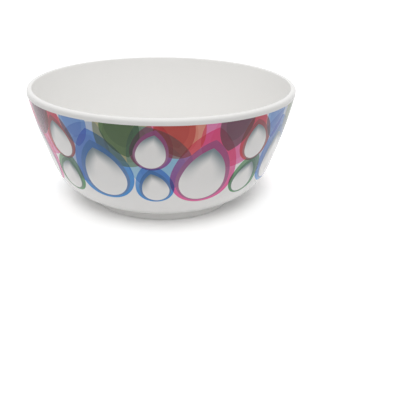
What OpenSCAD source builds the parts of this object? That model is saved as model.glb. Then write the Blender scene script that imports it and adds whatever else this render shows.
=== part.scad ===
// Pressed melamine bowl with a thick collar rim, a low foot ring and
// four printed decal foils laid flush into its outer wall.
// Millimetres. +Z is up, and the origin is at the centre of the foot, on the table.

/* [Bowl] */
// Outer diameter across the rim collar
rim_d = 160; // [140:1:200]
// Height from the table to the top of the lip
bowl_h = 72; // [60:0.5:90]
// Thickness of the wall and of the floor
wall_t = 3.3; // [2:0.1:4]
// Lean of the wall from the vertical, just under the collar
wall_taper = 12.5; // [8:0.5:18]
// Radius of the long curve that the wall follows from the collar down
wall_curve_r = 290; // [220:5:400]
// Radius of the turn from the wall into the floor
shoulder_r = 34; // [27:1:43]

/* [Rim] */
// Height of the collar round the rim
collar_h = 3.5; // [2.6:0.1:6]
// How far the collar stands proud of the wall below it
collar_step = 0.2; // [0.1:0.1:1.5]
// Lean of the collar's outer face from the vertical
collar_taper = 4; // [0:1:10]
// Rounding of the lip's outer edge
lip_outer_r = 1.9; // [0.5:0.1:2.2]
// Rounding of the lip's inner edge
lip_inner_r = 0.7; // [0.3:0.1:0.9]

/* [Foot] */
// Outer diameter of the foot ring
foot_d = 83.5; // [74:0.5:96]
// Width of the foot ring
foot_w = 3.4; // [2.4:0.1:6]
// Height of the bowl's underside above the table
foot_h = 4.2; // [2:0.1:6]
// Rounding of the foot ring's two lower edges
foot_edge_r = 0.7; // [0.2:0.1:1.1]

/* [Decal foils] */
// Thickness of the printed foil
foil_t = 0.3; // [0.2:0.05:0.6]
// Clearance between a foil and its pocket, behind it and along its two long edges
foil_clear = 0.05; // [0.02:0.01:0.15]
// Height of the foil's lower edge above the table
foil_low_z = 8.5; // [7:0.5:24]

/* [Hidden] */
$fn = 96;
foil_count = 4;
foil_sweep = 360 / foil_count;
// Overlap that a cutting shape takes past the face that it cuts
past = 1;

melamine_white = [0.93, 0.93, 0.92];
pink_ink = [0.86, 0.35, 0.58];
blue_ink = [0.18, 0.49, 0.80];
green_ink = [0.18, 0.60, 0.33];
red_ink = [0.76, 0.28, 0.29];

rim_r = rim_d / 2;
foot_r = foot_d / 2;
collar_z = bowl_h - collar_h;

// The lip's two roundings, which stay within the wall's thickness
lip_share_out = 0.6;
lip_share_in = 0.22;
lip_out_r = min(lip_outer_r, lip_share_out * wall_t);
lip_in_r = min(lip_inner_r, lip_share_in * wall_t);

// The lip's outer rounding, and the collar face that runs down from it at its taper
lip_c = [rim_r - lip_out_r, bowl_h - lip_out_r];
collar_top = lip_c + lip_out_r * [cos(collar_taper), -sin(collar_taper)];
collar_low_r = collar_top[0] - (collar_top[1] - collar_z) * tan(collar_taper);

// The wall's long curve starts under the collar at its taper
wall_top_r = collar_low_r - collar_step;
wall_c = [wall_top_r - wall_curve_r * cos(wall_taper), collar_z + wall_curve_r * sin(wall_taper)];

// The shoulder's turn rests on the flat underside and meets the long curve at a tangent
shoulder_z = foot_h + shoulder_r;
curve_gap = wall_curve_r - shoulder_r;
shoulder_c = [wall_c[0] + sqrt(curve_gap ^ 2 - (wall_c[1] - shoulder_z) ^ 2), shoulder_z];
tangent_way = (shoulder_c - wall_c) / curve_gap;

// Radius of the inner wall where it reaches the lip, and its lean there
inner_r = wall_curve_r - wall_t;
mouth_lean = asin((wall_c[1] - bowl_h) / inner_r);
mouth_r = wall_c[0] + inner_r * cos(mouth_lean);

// Half section of the space inside the outer skin, drawn in from it by inset
module skin_section(inset) {
    blend_z = shoulder_c[1] + (shoulder_r - inset) * tangent_way[1];
    low_z = foot_h + inset;
    intersection() {
        translate(wall_c) circle(r = wall_curve_r - inset, $fn = 360);
        translate([0, blend_z]) square([rim_r, bowl_h + past - blend_z]);
    }
    intersection() {
        translate(shoulder_c) circle(r = shoulder_r - inset);
        translate([shoulder_c[0], low_z]) square([rim_r, blend_z - low_z]);
    }
    translate([0, low_z]) square([shoulder_c[0], blend_z - low_z]);
}

// Half section of the collar, with the rounded outer edge of the lip
module collar_section() {
    polygon([[0, collar_z], [collar_low_r, collar_z], collar_top, lip_c, [lip_c[0], bowl_h], [0, bowl_h]]);
    translate(lip_c) circle(r = lip_out_r);
}

// Half section of the corner that the lip's inner rounding takes away
module lip_corner_section() {
    round_z = bowl_h - lip_in_r;
    touch_z = round_z + lip_in_r * sin(mouth_lean);
    touch_r = mouth_r - (bowl_h - touch_z) * tan(mouth_lean);
    round_r = touch_r + lip_in_r * cos(mouth_lean);
    difference() {
        polygon([[touch_r, touch_z], [round_r, round_z], [round_r, bowl_h + past], [touch_r, bowl_h + past]]);
        translate([round_r, round_z]) circle(r = lip_in_r);
    }
}

// Half section of the foot ring, rounded at its two lower edges
module foot_section() {
    low_r = foot_r - foot_w;
    top_z = shoulder_z - sqrt(shoulder_r ^ 2 - max(0, foot_r - shoulder_c[0]) ^ 2) + wall_t / 2;
    translate([low_r, foot_edge_r]) square([foot_w, top_z - foot_edge_r]);
    translate([low_r + foot_edge_r, 0]) square([foot_w - 2 * foot_edge_r, top_z]);
    for (edge_r = [low_r + foot_edge_r, foot_r - foot_edge_r])
        translate([edge_r, foot_edge_r]) circle(r = foot_edge_r);
}

// Half section of a layer of the outer wall, so deep, between two heights
module wall_layer_section(depth, low_z, high_z) {
    intersection() {
        difference() {
            skin_section(0);
            skin_section(depth);
        }
        translate([0, low_z]) square([rim_r, high_z - low_z]);
    }
}

// White shell in one pressing: wall, floor, collar and foot ring
module bowl_shell() {
    color(melamine_white)
        rotate_extrude()
            difference() {
                union() {
                    intersection() {
                        skin_section(0);
                        square([rim_r, collar_z]);
                    }
                    collar_section();
                    foot_section();
                }
                skin_section(wall_t);
                lip_corner_section();
                wall_layer_section(foil_t + foil_clear, foil_low_z - foil_clear, collar_z);
            }
}

// One printed foil, a quarter of the way round, edge to edge with the next
module decal_foil(place, tint) {
    color(tint)
        rotate([0, 0, (place - 1) * foil_sweep])
            rotate_extrude(angle = foil_sweep)
                wall_layer_section(foil_t, foil_low_z, collar_z - foil_clear);
}

bowl_shell();
decal_foil(1, pink_ink);  // decal_foil_1
decal_foil(2, blue_ink);  // decal_foil_2
decal_foil(3, green_ink);  // decal_foil_3
decal_foil(4, red_ink);  // decal_foil_4
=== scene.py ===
import math
from collections import namedtuple

import bmesh
import bpy
from bpy.props import FloatProperty, FloatVectorProperty, IntProperty, PointerProperty
from mathutils import Matrix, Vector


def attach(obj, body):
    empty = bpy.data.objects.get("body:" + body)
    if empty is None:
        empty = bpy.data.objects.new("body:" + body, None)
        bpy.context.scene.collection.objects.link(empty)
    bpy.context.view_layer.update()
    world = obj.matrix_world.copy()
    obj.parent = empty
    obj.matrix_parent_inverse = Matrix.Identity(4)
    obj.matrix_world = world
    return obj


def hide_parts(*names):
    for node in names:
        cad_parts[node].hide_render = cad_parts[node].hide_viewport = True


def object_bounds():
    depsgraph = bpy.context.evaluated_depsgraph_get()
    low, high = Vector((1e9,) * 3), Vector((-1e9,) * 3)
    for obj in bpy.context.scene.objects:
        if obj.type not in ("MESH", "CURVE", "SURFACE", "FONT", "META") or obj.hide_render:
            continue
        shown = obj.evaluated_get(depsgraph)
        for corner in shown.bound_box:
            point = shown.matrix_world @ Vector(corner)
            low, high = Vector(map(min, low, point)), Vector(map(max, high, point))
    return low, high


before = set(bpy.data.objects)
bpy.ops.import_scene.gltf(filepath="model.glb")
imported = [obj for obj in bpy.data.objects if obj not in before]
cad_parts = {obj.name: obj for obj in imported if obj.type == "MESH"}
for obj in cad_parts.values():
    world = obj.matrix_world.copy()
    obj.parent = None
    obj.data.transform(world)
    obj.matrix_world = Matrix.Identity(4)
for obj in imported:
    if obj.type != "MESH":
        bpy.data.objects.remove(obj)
CAD_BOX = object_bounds()

bl_info = {
    "name": "Printed Melamine Bowl",
    "version": (1, 0, 0),
    "blender": (4, 5, 0),
    "location": "View3D > Sidebar > Bowl",
    "description": "Turns a white melamine bowl, lays its printed foils and sets a plain studio",
    "category": "Add Mesh",
}

MM = 0.001
FOILS = ("decal_foil_1", "decal_foil_2", "decal_foil_3", "decal_foil_4")
WHITE = (1.0, 1.0, 1.0, 1.0)
# Two faces keep a sharp edge between them from this angle on
SHARP_EDGE = math.radians(28)
# Points nearer than this are one point
SAME_POINT = 0.001 * MM

# Stretches of each arc and line in the half section
WALL_STEPS = 36
SHOULDER_STEPS = 24
FLAT_STEPS = 10
INNER_LIP_STEPS = 10
OUTER_LIP_STEPS = 14
COLLAR_STEPS = 4
FOOT_EDGE_STEPS = 8


def metres(name, description, default):
    """A length that a user may change, with its default in metres."""
    return FloatProperty(
        name=name, description=description, default=default, unit="LENGTH", precision=5
    )


def millimetres(name, description, default):
    """A length that a user may change, with its default in millimetres."""
    return metres(name, description, default * MM)


def degrees(name, description, default):
    """An angle that a user may change, with its default in degrees."""
    return FloatProperty(
        name=name, description=description, default=math.radians(default), subtype="ANGLE"
    )


def share(name, description, default):
    """A plain number from 0 up that a user may change."""
    return FloatProperty(name=name, description=description, default=default, min=0.0)


def linear(code):
    """Linear colour of a six-digit colour code."""
    parts = [int(code[i:i + 2], 16) / 255 for i in (0, 2, 4)]
    return tuple(p / 12.92 if p <= 0.04045 else ((p + 0.055) / 1.055) ** 2.4 for p in parts)


def colour(name, description, code):
    """A colour that a user may change, with its default as a six-digit colour code."""
    return FloatVectorProperty(
        name=name, description=description, default=linear(code), subtype="COLOR", min=0.0, max=1.0
    )


class BowlSizes(bpy.types.PropertyGroup):
    """Sizes of the turned bowl and its foils."""

    rim_radius: metres("Rim radius", "Radius across the outside of the collar", min(CAD_BOX[1].xy))
    height: metres("Height", "Height of the lip above the table", CAD_BOX[1].z)
    wall: millimetres("Wall", "Thickness of the wall and the floor", 3.3)
    wall_taper: degrees("Wall taper", "Lean of the wall just under the collar", 12.5)
    wall_curve: millimetres("Wall curve", "Radius of the long curve of the wall", 290.0)
    shoulder: millimetres("Shoulder", "Radius of the turn from the wall into the floor", 34.0)
    collar_height: millimetres("Collar height", "Height of the collar round the rim", 3.5)
    collar_step: millimetres("Collar step", "How far the collar stands proud of the wall", 0.2)
    collar_taper: degrees("Collar taper", "Lean of the collar's outer face", 4.0)
    lip_outer: millimetres("Outer lip rounding", "Rounding of the lip's outer edge", 1.9)
    lip_inner: millimetres("Inner lip rounding", "Rounding of the lip's inner edge", 0.7)
    foot_radius: millimetres("Foot radius", "Outer radius of the foot ring", 41.75)
    foot_width: millimetres("Foot width", "Width of the foot ring", 3.4)
    foot_height: millimetres("Foot height", "Height of the underside above the table", 4.2)
    foot_edge: millimetres("Foot edge", "Rounding of the foot ring's lower edges", 0.7)
    foil: millimetres("Foil", "Thickness of a printed foil", 0.3)
    foil_clear: millimetres("Foil clearance", "Clearance between a foil and its pocket", 0.05)
    foil_low: millimetres("Foil lower edge", "Height of the foils' lower edge above the table", 8.5)
    steps: IntProperty(name="Steps", description="Faces round the whole bowl", default=240, min=24)


class BowlInks(bpy.types.PropertyGroup):
    """Colours of the white body and of the print."""

    melamine: colour("Melamine", "White of the pressed body", "F6F5F3")
    pink: colour("Pink ink", "Bright ink of the pink petals", "F44CA4")
    plum: colour("Plum ink", "Deep ink of the pink petals", "8C3676")
    blue: colour("Blue ink", "Bright ink of the blue petals", "0690E4")
    navy: colour("Navy ink", "Deep ink of the blue petals", "1B609F")
    green: colour("Green ink", "Bright ink of the green petals", "068C36")
    pine: colour("Pine ink", "Deep ink of the green petals", "0F5A3C")
    red: colour("Red ink", "Bright ink of the red petals", "D8453F")
    wine: colour("Wine ink", "Deep ink of the red petals", "86343E")
    shade: colour("Petal shade", "Soft shade at the upper edge of a petal's pale middle", "55707C")
    rose: colour("Rose wash", "Wash behind the petals", "F470B8")
    mist: colour("Mist wash", "Wash behind the petals", "A4BCE2")
    khaki: colour("Khaki wash", "Wash behind the petals", "A9A45E")
    sky: colour("Sky wash", "Wash behind the petals", "8FCBEC")
    coral: colour("Coral wash", "Wash behind the petals", "EE8C70")


class BowlStudio(bpy.types.PropertyGroup):
    """Camera, light and floor of the plain studio."""

    camera_x: millimetres("Camera across", "Camera's place across the view", 28.76)
    camera_y: millimetres("Camera along", "Camera's place along the view", -440.43)
    camera_z: millimetres("Camera height", "Camera's height above the floor", 174.98)
    camera_pitch: degrees("Camera pitch", "How far the camera looks down", 22.69)
    camera_roll: degrees("Camera roll", "How far the camera is rolled about its view", 1.01)
    lens: share("Lens", "Focal length in millimetres on a sensor 36 mm wide", 64.06)
    horizon: share("Horizon", "Strength of the soft light from the sides", 0.24)
    zenith: share("Zenith", "Strength of the soft light from straight above", 1.25)
    sky_lean: degrees(
        "Sky lean", "How far the sky's brightest part leans from straight above, to the camera", 6.0
    )
    lamp: share("Lamp", "Strength of the wide soft lamp overhead", 0.2)
    lamp_lean: degrees("Lamp lean", "How far the lamp leans from straight above, to the camera", 20.0)
    lamp_width: degrees("Lamp width", "Angle that the lamp fills, seen from the bowl", 60.0)
    bounce_near: share(
        "Bounce near", "Share of its light that the floor under the bowl throws back", 0.95
    )
    bounce_far: share("Bounce far", "Share of its light that the floor farther off throws back", 0.45)
    # Painted shade and painted light on the floor: where the floor is seen, its colour is darker in a
    # disc behind the bowl's middle, on top of the cast shadow, and brighter round that disc
    floor_painted_shade: share(
        "Floor under", "How bright the floor looks under the bowl, where 1 is paper white", 0.86
    )
    floor_painted_light: share("Floor near", "How bright the floor looks round that shade", 1.44)
    floor_far: share("Floor far", "How bright the floor looks farther off", 1.14)
    # Size, soft edge and place of the painted shade on the floor
    painted_shade_radius: millimetres("Shade radius", "Radius of the shade under the bowl", 54.0)
    painted_shade_fade: millimetres("Shade fade", "Width of the shade's soft edge", 21.0)
    painted_shade_back: millimetres("Shade back", "How far behind the bowl's middle the shade lies", 25.0)
    # Radius of the painted light round the painted shade, which fades to the even floor by twice this
    # radius
    pool: millimetres("Pool", "Radius of the brighter floor round the bowl", 100.0)
    backdrop: share(
        "Backdrop", "How bright the space behind the floor looks, where 1 is paper white", 1.0
    )


class BowlSection:
    """Half section of the bowl: the centres and radii of its arcs, and the outlines drawn from them."""

    def __init__(self, sizes):
        self.sizes = s = sizes
        self.collar_z = s.height - s.collar_height
        self.lip_c = (s.rim_radius - s.lip_outer, s.height - s.lip_outer)
        collar_top = (
            self.lip_c[0] + s.lip_outer * math.cos(s.collar_taper),
            self.lip_c[1] - s.lip_outer * math.sin(s.collar_taper),
        )
        self.collar_low = collar_top[0] - (collar_top[1] - self.collar_z) * math.tan(s.collar_taper)
        wall_top = self.collar_low - s.collar_step
        self.wall_c = (
            wall_top - s.wall_curve * math.cos(s.wall_taper),
            self.collar_z + s.wall_curve * math.sin(s.wall_taper),
        )
        shoulder_z = s.foot_height + s.shoulder
        gap = s.wall_curve - s.shoulder
        fall = self.wall_c[1] - shoulder_z
        self.shoulder_c = (self.wall_c[0] + math.sqrt(gap**2 - fall**2), shoulder_z)
        # Angle below the horizontal at which the wall's curve runs into the shoulder's
        self.blend = math.asin(fall / gap)
        self.blend_z = shoulder_z - s.shoulder * math.sin(self.blend)

    def lean_at(self, height, inset=0.0):
        """Lean of the wall's skin at a height, drawn in by inset: its angle from the vertical."""
        s = self.sizes
        if height > self.shoulder_c[1] - (s.shoulder - inset) * math.sin(self.blend):
            return math.asin((self.wall_c[1] - height) / (s.wall_curve - inset))
        return math.asin(min(1.0, (self.shoulder_c[1] - height) / (s.shoulder - inset)))

    def skin(self, inset, high, low):
        """Points down the wall from one height to another, on the outer skin drawn in by inset."""
        s = self.sizes
        start, end = self.lean_at(high, inset), self.lean_at(low, inset)
        points = []
        if start < self.blend:
            upper = min(end, self.blend)
            points += arc(self.wall_c, s.wall_curve - inset, -start, -upper, WALL_STEPS)
        if end > self.blend:
            lower = max(start, self.blend)
            points += arc(self.shoulder_c, s.shoulder - inset, -lower, -end, SHOULDER_STEPS)
        return points

    def underside_z(self, radius):
        """Height of the outer skin under the bowl at a radius near the foot."""
        out = max(0.0, radius - self.shoulder_c[0])
        return self.shoulder_c[1] - math.sqrt(self.sizes.shoulder**2 - out**2)

    def cavity(self):
        """Outline of the inside, from the middle of the floor up to the top of the lip."""
        s = self.sizes
        floor = s.foot_height + s.wall
        inner = s.wall_curve - s.wall
        mouth = math.asin((self.wall_c[1] - s.height) / inner)
        mouth_r = self.wall_c[0] + inner * math.cos(mouth)
        touch_z = s.height - s.lip_inner * (1 - math.sin(mouth))
        touch_r = mouth_r - (s.height - touch_z) * math.tan(mouth)
        lip = (touch_r + s.lip_inner * math.cos(mouth), s.height - s.lip_inner)
        points = line((0.0, floor), (self.shoulder_c[0], floor), FLAT_STEPS)
        points += reversed(self.skin(s.wall, touch_z, floor))
        points += arc(lip, s.lip_inner, math.pi - mouth, math.pi / 2, INNER_LIP_STEPS)
        return points

    def outside(self):
        """Outline of the outside, from the top of the lip down to the middle of the underside."""
        s = self.sizes
        pocket = s.foil + s.foil_clear
        ledge = s.foil_low - s.foil_clear
        inner_foot = s.foot_radius - s.foot_width
        outer_edge = (s.foot_radius - s.foot_edge, s.foot_edge)
        inner_edge = (inner_foot + s.foot_edge, s.foot_edge)
        points = arc(self.lip_c, s.lip_outer, math.pi / 2, -s.collar_taper, OUTER_LIP_STEPS)
        points += line(points[-1], (self.collar_low, self.collar_z), COLLAR_STEPS)[1:]
        points += self.skin(pocket, self.collar_z, ledge)
        points += self.skin(0.0, ledge, self.underside_z(s.foot_radius))
        points += arc(outer_edge, s.foot_edge, 0.0, -math.pi / 2, FOOT_EDGE_STEPS)
        points += arc(inner_edge, s.foot_edge, -math.pi / 2, -math.pi, FOOT_EDGE_STEPS)
        points += [(inner_foot, self.underside_z(inner_foot))]
        points += line((self.shoulder_c[0], s.foot_height), (0.0, s.foot_height), FLAT_STEPS)
        return points

    def foil(self):
        """The foil's outer and inner outlines, both from its upper edge down, point for point."""
        s = self.sizes
        high = self.collar_z - s.foil_clear
        return self.skin(0.0, high, s.foil_low), self.skin(s.foil, high, s.foil_low)


def arc(centre, radius, start, end, steps):
    """Points of an arc in the half section, both ends included."""
    turns = [start + (end - start) * i / steps for i in range(steps + 1)]
    return [(centre[0] + radius * math.cos(t), centre[1] + radius * math.sin(t)) for t in turns]


def line(start, end, steps):
    """Points of a straight stretch in the half section, both ends included."""
    return [tuple(a + (b - a) * i / steps for a, b in zip(start, end)) for i in range(steps + 1)]


def tidy(points):
    """The points without those that repeat the one before."""
    kept = [points[0]]
    for point in points[1:]:
        if math.dist(point, kept[-1]) > SAME_POINT:
            kept.append(point)
    return kept


def spun_rings(bm, points, angles):
    """One ring of vertices for each point of an outline. A point on the axis is a single vertex."""
    rings = []
    for radius, height in points:
        if radius < SAME_POINT:
            rings.append([bm.verts.new((0.0, 0.0, height))] * len(angles))
        else:
            places = [(radius * math.cos(a), radius * math.sin(a), height) for a in angles]
            rings.append([bm.verts.new(place) for place in places])
    return rings


def bridge(bm, first, second, closed):
    """Faces between two rings or rows of vertices, with no vertex twice in a face."""
    last = len(first) if closed else len(first) - 1
    for i in range(last):
        j = (i + 1) % len(first)
        corners = dict.fromkeys((first[i], first[j], second[j], second[i]))
        bm.faces.new(list(corners))


def finish_mesh(bm, name, material):
    """A new object from the mesh, smooth but for its real edges."""
    bmesh.ops.recalc_face_normals(bm, faces=bm.faces)
    for face in bm.faces:
        face.smooth = True
    for edge in bm.edges:
        edge.smooth = edge.calc_face_angle(0.0) < SHARP_EDGE
    mesh = bpy.data.meshes.new(name)
    bm.to_mesh(mesh)
    bm.free()
    mesh.materials.append(material)
    piece = bpy.data.objects.new(name, mesh)
    bpy.context.scene.collection.objects.link(piece)
    return piece


def turned(name, points, steps, material):
    """A solid turned all the way round from an outline that starts and ends on the axis."""
    bm = bmesh.new()
    rings = spun_rings(bm, tidy(points), [math.tau * i / steps for i in range(steps)])
    for first, second in zip(rings, rings[1:]):
        bridge(bm, first, second, closed=True)
    return finish_mesh(bm, name, material)


def wrapped(name, outer, inner, start, sweep, steps, material):
    """A thin closed strip between two outlines, turned part of the way round."""
    bm = bmesh.new()
    angles = [start + sweep * i / steps for i in range(steps + 1)]
    front = spun_rings(bm, outer, angles)
    back = spun_rings(bm, inner, angles)
    for rings in (front, back):
        for first, second in zip(rings, rings[1:]):
            bridge(bm, first, second, closed=False)
    for end in (0, -1):
        bridge(bm, front[end], back[end], closed=False)
        bridge(bm, [ring[end] for ring in front], [ring[end] for ring in back], closed=False)
    return finish_mesh(bm, name, material)


class Wire:
    """One output of a node, so that shader maths reads as Python."""

    def __init__(self, finish, socket):
        self.finish = finish
        self.socket = socket

    def math(self, operation, *values):
        """A Math node on the values, which are wires or numbers."""
        return self.finish.node("ShaderNodeMath", {"operation": operation}, dict(enumerate(values)))

    def __add__(self, other):
        return self.math("ADD", self, other)

    def __radd__(self, other):
        return self.math("ADD", other, self)

    def __sub__(self, other):
        return self.math("SUBTRACT", self, other)

    def __rsub__(self, other):
        return self.math("SUBTRACT", other, self)

    def __mul__(self, other):
        return self.math("MULTIPLY", self, other)

    def __rmul__(self, other):
        return self.math("MULTIPLY", other, self)

    def __truediv__(self, other):
        return self.math("DIVIDE", self, other)

    def __pow__(self, other):
        return self.math("POWER", self, other)

    def at_least(self, other):
        return self.math("MAXIMUM", self, other)

    def at_most(self, other):
        return self.math("MINIMUM", self, other)

    def arcsine(self):
        return self.math("ARCSINE", self)

    def arccosine(self):
        return self.math("ARCCOSINE", self)


class Finish:
    """The node tree of a material or a world, with one method that adds any node."""

    # Sockets of a Mix node that take two colours and give their mix
    MIX_LOW, MIX_HIGH, MIX_RESULT = 6, 7, 2

    def __init__(self, name, owners=bpy.data.materials):
        self.owner = owners.new(name)
        self.owner.use_nodes = True
        self.tree = self.owner.node_tree
        self.tree.nodes.clear()

    def node(self, kind, settings=None, inputs=None, output=0):
        """Adds a node, sets it up, fills or links its sockets and returns one output."""
        made = self.tree.nodes.new(kind)
        for key, value in (settings or {}).items():
            setattr(made, key, value)
        for key, value in (inputs or {}).items():
            if isinstance(value, Wire):
                self.tree.links.new(value.socket, made.inputs[key])
            else:
                made.inputs[key].default_value = value
        return Wire(self, made.outputs[output]) if made.outputs else None

    def place(self):
        """Position in the bowl's own frame, as a vector and as its three parts."""
        position = self.node("ShaderNodeTexCoord", output="Object")
        parts = [self.node("ShaderNodeSeparateXYZ", inputs={0: position}, output=i) for i in range(3)]
        return position, parts

    def mix(self, factor, low, high, blend="MIX"):
        """Mix of two colours."""
        settings = {"data_type": "RGBA", "blend_type": blend}
        inputs = {0: factor, self.MIX_LOW: solid(low), self.MIX_HIGH: solid(high)}
        return self.node("ShaderNodeMix", settings, inputs, output=self.MIX_RESULT)

    def noise(self, position, scale, detail=2.0):
        """Plain noise from 0 to 1 over the position."""
        inputs = {"Vector": position, "Scale": scale, "Detail": detail}
        return self.node("ShaderNodeTexNoise", inputs=inputs)

    def rise(self, value, low, high):
        """0 below low, 1 above high and a smooth rise between them."""
        settings = {"interpolation_type": "SMOOTHSTEP"}
        inputs = {"Value": value, "From Min": low, "From Max": high, "To Min": 0.0, "To Max": 1.0}
        return self.node("ShaderNodeMapRange", settings, inputs)

    def layer(self, factor, under, over):
        """Mix of two shaders."""
        return self.node("ShaderNodeMixShader", inputs={0: factor, 1: under, 2: over})

    def onlookers(self):
        """1 for rays that look at the setting: straight, off a gloss or through something clear."""
        kinds = ("Is Camera Ray", "Is Glossy Ray", "Is Transmission Ray")
        camera, gloss, clear = (self.node("ShaderNodeLightPath", output=kind) for kind in kinds)
        return (camera + gloss + clear).at_most(1.0)

    def surface(self, inputs):
        """Ends the tree in the usual surface shader and returns the material."""
        shader = self.node("ShaderNodeBsdfPrincipled", inputs=inputs)
        self.node("ShaderNodeOutputMaterial", inputs={"Surface": shader})
        return self.owner


def solid(value):
    """A colour with its alpha, or a wire as it is."""
    return value if isinstance(value, Wire) else (*value[:3], 1.0)


# Scales of pressed melamine's clouds, grain and ripple, in waves to the metre
CLOUD_SCALE = 38.0
GRAIN_SCALE = 1900.0
RIPPLE_SCALE = 240.0
# Detail of its grain and ripple, which is less than that of its clouds
FINE_DETAIL = 1.0
# Share of the grain against the clouds in its tone, and its dullest tone against its white
GRAIN_SHARE = 0.65
DULLEST = 0.955
# Its least roughness, and what the clouds and the grain add
SMOOTHEST = 0.2
CLOUD_ROUGHNESS = 0.06
GRAIN_ROUGHNESS = 0.05
# Strength and depth of its ripple, and how strongly it bends light
RIPPLE_STRENGTH = 0.05
RIPPLE_DEPTH = 0.4 * MM
MELAMINE_IOR = 1.52

# Scale and detail of the scuffs under the foot ring, the levels of noise between which they set in,
# and the heights between which they fade out
SCUFF_SCALE = 900.0
SCUFF_DETAIL = 4.0
SCUFF_LEVELS = (0.5, 0.62)
SCUFF_HEIGHTS = (0.1 * MM, 0.5 * MM)
# Colour of the scuffs, and how strongly they tint and roughen the white
SCUFF_COLOUR = "B9B7B0"
SCUFF_TINT = 0.35
SCUFF_ROUGHNESS = 0.25


def melamine_skin(finish, position, white):
    """Colour, roughness and normal of melamine: faint clouds, fine grain and a slight ripple."""
    clouds = finish.noise(position, CLOUD_SCALE)
    grain = finish.noise(position, GRAIN_SCALE, FINE_DETAIL)
    ripple = finish.noise(position, RIPPLE_SCALE, FINE_DETAIL)
    dull = tuple(DULLEST * c for c in white)
    tone = finish.mix(clouds * (1 - GRAIN_SHARE) + grain * GRAIN_SHARE, dull, white)
    roughness = SMOOTHEST + clouds * CLOUD_ROUGHNESS + grain * GRAIN_ROUGHNESS
    inputs = {"Strength": RIPPLE_STRENGTH, "Distance": RIPPLE_DEPTH, "Height": ripple}
    return tone, roughness, finish.node("ShaderNodeBump", inputs=inputs)


def white_melamine(inks):
    """Pressed white melamine, with fine scuffs where the foot ring stands."""
    finish = Finish("white_melamine")
    position, (_, _, height) = finish.place()
    tone, roughness, bump = melamine_skin(finish, position, inks.melamine)
    scuffs = finish.rise(finish.noise(position, SCUFF_SCALE, SCUFF_DETAIL), *SCUFF_LEVELS)
    worn = scuffs * (1 - finish.rise(height, *SCUFF_HEIGHTS))
    return finish.surface({
        "Base Color": finish.mix(worn * SCUFF_TINT, tone, linear(SCUFF_COLOUR)),
        "Roughness": roughness + worn * SCUFF_ROUGHNESS,
        "IOR": MELAMINE_IOR,
        "Normal": bump,
    })


Petal = namedtuple("Petal", "ink deep turn drop size lean")
Wash = namedtuple("Wash", "ink strength turn drop size lean")

# The print of one foil, from the back layer to the front: how far round the foil a motif sits, in
# degrees, how far below the collar its middle lies and how large its round end is, in millimetres, and
# how far its tip leans, in degrees
WASHES = (
    Wash("rose", 0.9, turn=34.0, drop=8.0, size=21.0, lean=10.0),
    Wash("khaki", 0.8, turn=79.0, drop=9.0, size=17.0, lean=-20.0),
    Wash("mist", 0.7, turn=58.0, drop=24.0, size=17.0, lean=30.0),
    Wash("sky", 0.85, turn=3.0, drop=24.0, size=17.0, lean=-30.0),
    Wash("coral", 0.9, turn=10.0, drop=6.0, size=14.0, lean=15.0),
    Wash("red", 0.8, turn=8.0, drop=2.0, size=11.0, lean=168.0),
    Wash("pine", 0.75, turn=34.0, drop=1.0, size=11.0, lean=192.0),
    Wash("blue", 0.75, turn=56.5, drop=2.0, size=9.5, lean=176.0),
    Wash("green", 0.8, turn=77.0, drop=2.5, size=11.0, lean=168.0),
)
PETALS = (
    Petal("blue", "navy", turn=90.0, drop=39.5, size=10.5, lean=-12.0),
    Petal("green", "pine", turn=45.0, drop=39.5, size=11.0, lean=16.0),
    Petal("red", "wine", turn=46.0, drop=16.0, size=12.0, lean=-10.0),
    Petal("pink", "plum", turn=89.0, drop=16.0, size=11.5, lean=12.0),
    Petal("blue", "navy", turn=67.0, drop=32.0, size=17.5, lean=-12.0),
    Petal("pink", "plum", turn=22.0, drop=32.5, size=19.0, lean=10.0),
)
# Sizes inside a motif are parts of its own size. First a petal's deep band and pale middle, and the
# deeper petal inside a wash: how large each is, and how far it sits below the motif's centre
BAND = (0.82, 0.11)
MIDDLE = (0.7, 0.19)
HEART = (0.72, 0.1)
# Strengths of a petal's outline, its band, the shade in its middle, and a wash's deeper petal
OUTLINE_STRENGTH = 0.94
BAND_STRENGTH = 0.82
SHADE_STRENGTH = 0.9
HEART_STRENGTH = 0.3
# Where on a petal the lower look turns into the upper one, and how far the shade reaches into its middle
UPPER = (-0.35, 0.8)
SHADE_REACH = 0.5
# How much nearer to white the outline is at the top and the band is at the bottom
OUTLINE_PALER = 0.12
BAND_PALER = 0.1
# How far round from its tip a petal draws in, and how long the tip is against the round end
TIP_SPREAD = math.radians(84)
TIP_RISE = 0.6
# Softness of a printed edge
EDGE = 0.12 * MM
# How much smoother the glaze over the print is than bare melamine
GLAZE_SMOOTHER = 0.04


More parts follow.
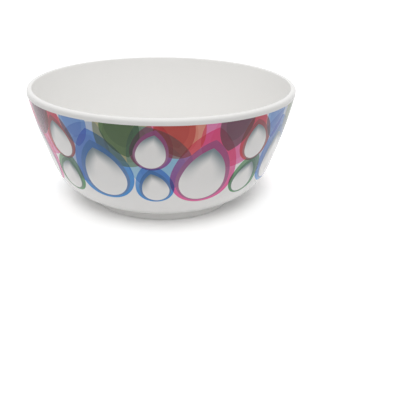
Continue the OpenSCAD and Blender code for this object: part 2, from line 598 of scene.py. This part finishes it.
class FoilPrint:
    """The print's drawing board: distance round the wall and down it, and petals drawn on them."""

    def __init__(self, finish, section, parts):
        self.finish = finish
        x, y, z = parts
        s = section.sizes
        self.turn = x.math("ARCTAN2", y, x)
        self.radius = (x * x + y * y) ** 0.5
        upper, lower = z.at_least(section.blend_z), z.at_most(section.blend_z)
        wall = ((section.wall_c[1] - upper) / s.wall_curve).arcsine() - s.wall_taper
        shoulder = ((section.shoulder_c[1] - lower) / s.shoulder).arcsine() - section.blend
        self.drop = wall * s.wall_curve + shoulder * s.shoulder

    def board(self, petal):
        """Place on the wall against a petal's centre: across it, and along it towards its tip."""
        half = math.pi / len(FOILS)
        turned_by = self.turn - math.radians(petal.turn)
        across = turned_by.math("WRAP", turned_by, half, -half) * self.radius
        along = petal.drop * MM - self.drop
        c, s = math.cos(math.radians(petal.lean)), math.sin(math.radians(petal.lean))
        return across * c - along * s, across * s + along * c

    def inside(self, board, size, lower=0.0):
        """How far a place lies inside a petal outline of that size, centred lower on the board."""
        across, along = board[0], board[1] + lower
        reach = (across * across + along * along) ** 0.5
        tip = (1 - (along / reach).arccosine() / TIP_SPREAD).at_least(0.0)
        return (1 + tip * tip * TIP_RISE) * size - reach

    def mask(self, depth):
        """1 inside an outline and 0 outside, with a printed edge between them."""
        return self.finish.rise(depth, -EDGE, EDGE)


def paler(ink, part):
    """The colour brought nearer to white by a part."""
    return tuple(c + (1 - c) * part for c in ink[:3])


def print_wash(finish, drawing, tone, wash, inks):
    """A see-through petal behind the others, with a deeper one inside it."""
    size = wash.size * MM
    board = drawing.board(wash)
    outline = drawing.mask(drawing.inside(board, size))
    heart = drawing.mask(drawing.inside(board, size * HEART[0], size * HEART[1]))
    ink = getattr(inks, wash.ink)
    tone = finish.mix(outline * wash.strength, tone, ink, "MULTIPLY")
    return finish.mix(heart * HEART_STRENGTH, tone, ink, "MULTIPLY")


def print_petal(finish, drawing, tone, petal, inks, white):
    """A see-through petal with a deep band and a pale middle that is shaded at its upper edge."""
    size = petal.size * MM
    board = drawing.board(petal)
    upper = finish.rise(board[1], UPPER[0] * size, UPPER[1] * size)
    outline = drawing.mask(drawing.inside(board, size))
    band = drawing.mask(drawing.inside(board, size * BAND[0], size * BAND[1]))
    depth = drawing.inside(board, size * MIDDLE[0], size * MIDDLE[1])
    bright, deep = getattr(inks, petal.ink), getattr(inks, petal.deep)
    outline_ink = finish.mix(upper, bright, paler(bright, OUTLINE_PALER))
    band_ink = finish.mix(upper, paler(deep, BAND_PALER), deep)
    shade = (1 - finish.rise(depth, 0.0, SHADE_REACH * size)) * upper
    pale = finish.mix(shade * SHADE_STRENGTH, white, inks.shade)
    tone = finish.mix(outline * OUTLINE_STRENGTH, tone, outline_ink, "MULTIPLY")
    tone = finish.mix(band * BAND_STRENGTH, tone, band_ink)
    return finish.mix(drawing.mask(depth), tone, pale)


def printed_foil(inks, section):
    """White foil with a band of see-through petals, under a clear glaze."""
    finish = Finish("printed_foil")
    position, parts = finish.place()
    white, roughness, bump = melamine_skin(finish, position, inks.melamine)
    drawing = FoilPrint(finish, section, parts)
    tone = white
    for wash in WASHES:
        tone = print_wash(finish, drawing, tone, wash, inks)
    for petal in PETALS:
        tone = print_petal(finish, drawing, tone, petal, inks, white)
    return finish.surface({
        "Base Color": tone,
        "Roughness": roughness - GLAZE_SMOOTHER,
        "IOR": MELAMINE_IOR,
        "Normal": bump,
    })


def place_piece(piece, slot, *nodes):
    """Seats a piece on the bowl's one body, in the place of its solids."""
    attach(piece, "root")
    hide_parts(*nodes)


class BOWL_OT_turn_shell(bpy.types.Operator):
    """Turn the white shell from its half section"""

    bl_idname = "bowl.turn_shell"
    bl_label = "Turn the shell"

    def execute(self, context):
        scene = context.scene
        section = BowlSection(scene.bowl_sizes)
        outline = section.cavity() + section.outside()
        shell = turned("white_shell", outline, scene.bowl_sizes.steps, white_melamine(scene.bowl_inks))
        place_piece(shell, "melamine_white", "bowl_shell")
        return {"FINISHED"}


class BOWL_OT_lay_foils(bpy.types.Operator):
    """Lay the printed foils into the pocket round the wall"""

    bl_idname = "bowl.lay_foils"
    bl_label = "Lay the foils"

    def execute(self, context):
        scene = context.scene
        section = BowlSection(scene.bowl_sizes)
        material = printed_foil(scene.bowl_inks, section)
        outer, inner = (tidy(points) for points in section.foil())
        sweep = math.tau / len(FOILS)
        steps = scene.bowl_sizes.steps // len(FOILS)
        for place, node in enumerate(FOILS):
            name = f"printed_foil_{place + 1}"
            foil = wrapped(name, outer, inner, place * sweep, sweep, steps, material)
            place_piece(foil, "printed_foil", node)
        return {"FINISHED"}


class BOWL_OT_set_stage(bpy.types.Operator):
    """Set the floor, the light and the camera"""

    bl_idname = "bowl.set_stage"
    bl_label = "Set the stage"

    def execute(self, context):
        studio = context.scene.bowl_studio
        lay_floor(studio)
        light_studio(studio)
        set_camera(studio)
        return {"FINISHED"}


# How far the floor reaches to each side, in metres
FLOOR_REACH = 3.0
# Distances from the bowl's axis between which the light that the floor throws back falls off
BOUNCE_FALL = (75 * MM, 150 * MM)
# Width of the camera's sensor in millimetres, and the nearest that it sees
SENSOR = 36.0
NEAREST = 10 * MM


def lay_floor(studio):
    """A plain white floor that keeps the bowl's cast shadow, with painted shade under the bowl and
    painted light round it where it is seen.
    """
    reach = FLOOR_REACH
    corners = [(-reach, -reach, 0), (reach, -reach, 0), (reach, reach, 0), (-reach, reach, 0)]
    mesh = bpy.data.meshes.new("floor")
    mesh.from_pydata(corners, [], [(0, 1, 2, 3)])
    floor = bpy.data.objects.new("floor", mesh)
    bpy.context.scene.collection.objects.link(floor)
    finish = Finish("white_floor")

    def matt(level):
        return finish.node("ShaderNodeBsdfDiffuse", inputs={"Color": solid((level, level, level))})

    _, (x, y, _) = finish.place()
    radius = (x * x + y * y) ** 0.5
    # Painted shade: the floor's seen colour is darker in a disc set behind the bowl's middle and fades
    # out over its soft edge
    behind = y - studio.painted_shade_back
    from_painted_shade = (x * x + behind * behind) ** 0.5
    clear = finish.rise(from_painted_shade, studio.painted_shade_radius, studio.painted_shade_radius + studio.painted_shade_fade)
    # Painted light: round the painted shade the floor looks brighter, fading to the even floor farther
    # off
    away = finish.rise(radius, studio.pool, 2 * studio.pool)
    fall = finish.rise(radius, *BOUNCE_FALL)
    thrown = finish.layer(fall, matt(studio.bounce_near), matt(studio.bounce_far))
    # The seen floor: painted shade under the bowl, painted light round it, then the even white floor
    # farther off
    close = finish.layer(clear, matt(studio.floor_painted_shade), matt(studio.floor_painted_light))
    seen = finish.layer(away, close, matt(studio.floor_far))
    shader = finish.layer(finish.onlookers(), thrown, seen)
    finish.node("ShaderNodeOutputMaterial", inputs={"Surface": shader})
    mesh.materials.append(finish.owner)


def light_studio(studio):
    """Soft light from all round, strongest from above, and one wide soft lamp overhead."""
    scene = bpy.context.scene
    scene.view_settings.view_transform = "Standard"
    sky = Finish("soft_sky", bpy.data.worlds)

    def glow(strength):
        return sky.node("ShaderNodeBackground", inputs={"Color": WHITE, "Strength": strength})

    direction = sky.node("ShaderNodeTexCoord", output="Generated")
    brightest = (0.0, -math.sin(studio.sky_lean), math.cos(studio.sky_lean))
    along = {"operation": "DOT_PRODUCT"}
    up = sky.node("ShaderNodeVectorMath", along, {0: direction, 1: brightest}, output="Value")
    light = sky.layer(up.at_least(0.0), glow(studio.horizon), glow(studio.zenith))
    view = sky.layer(sky.onlookers(), light, glow(studio.backdrop))
    sky.node("ShaderNodeOutputWorld", inputs={"Surface": view})
    scene.world = sky.owner
    lamp = bpy.data.lights.new("soft_lamp", "SUN")
    lamp.energy = studio.lamp
    lamp.angle = studio.lamp_width
    holder = bpy.data.objects.new("soft_lamp", lamp)
    holder.rotation_euler = (studio.lamp_lean, 0.0, 0.0)
    scene.collection.objects.link(holder)


def set_camera(studio):
    """The camera at the photograph's place, looking along the bowl's +Y and down."""
    camera = bpy.data.cameras.new("camera")
    camera.lens = studio.lens
    camera.sensor_width = SENSOR
    camera.clip_start = NEAREST
    holder = bpy.data.objects.new("camera", camera)
    tilt = Matrix.Rotation(math.pi / 2 - studio.camera_pitch, 4, "X")
    roll = Matrix.Rotation(studio.camera_roll, 4, "Z")
    spot = Matrix.Translation((studio.camera_x, studio.camera_y, studio.camera_z))
    holder.matrix_world = spot @ tilt @ roll
    bpy.context.scene.collection.objects.link(holder)
    bpy.context.scene.camera = holder


class BOWL_PT_sidebar(bpy.types.Panel):
    """Steps and settings of the printed bowl"""

    bl_idname = "BOWL_PT_sidebar"
    bl_label = "Printed bowl"
    bl_space_type = "VIEW_3D"
    bl_region_type = "UI"
    bl_category = "Bowl"

    def draw(self, context):
        for operator in OPERATORS:
            self.layout.operator(operator.bl_idname)
        for group in GROUPS:
            settings = getattr(context.scene, group)
            box = self.layout.box()
            for key in settings.__annotations__:
                box.prop(settings, key)


GROUPS = {"bowl_sizes": BowlSizes, "bowl_inks": BowlInks, "bowl_studio": BowlStudio}
OPERATORS = (BOWL_OT_turn_shell, BOWL_OT_lay_foils, BOWL_OT_set_stage)
CLASSES = (*GROUPS.values(), *OPERATORS, BOWL_PT_sidebar)


def register():
    for cls in CLASSES:
        bpy.utils.register_class(cls)
    for name, group in GROUPS.items():
        setattr(bpy.types.Scene, name, PointerProperty(type=group))


def unregister():
    for name in GROUPS:
        delattr(bpy.types.Scene, name)
    for cls in reversed(CLASSES):
        bpy.utils.unregister_class(cls)


def main():
    register()
    bpy.ops.bowl.turn_shell()
    bpy.ops.bowl.lay_foils()
    bpy.ops.bowl.set_stage()


if __name__ == "__main__":
    main()
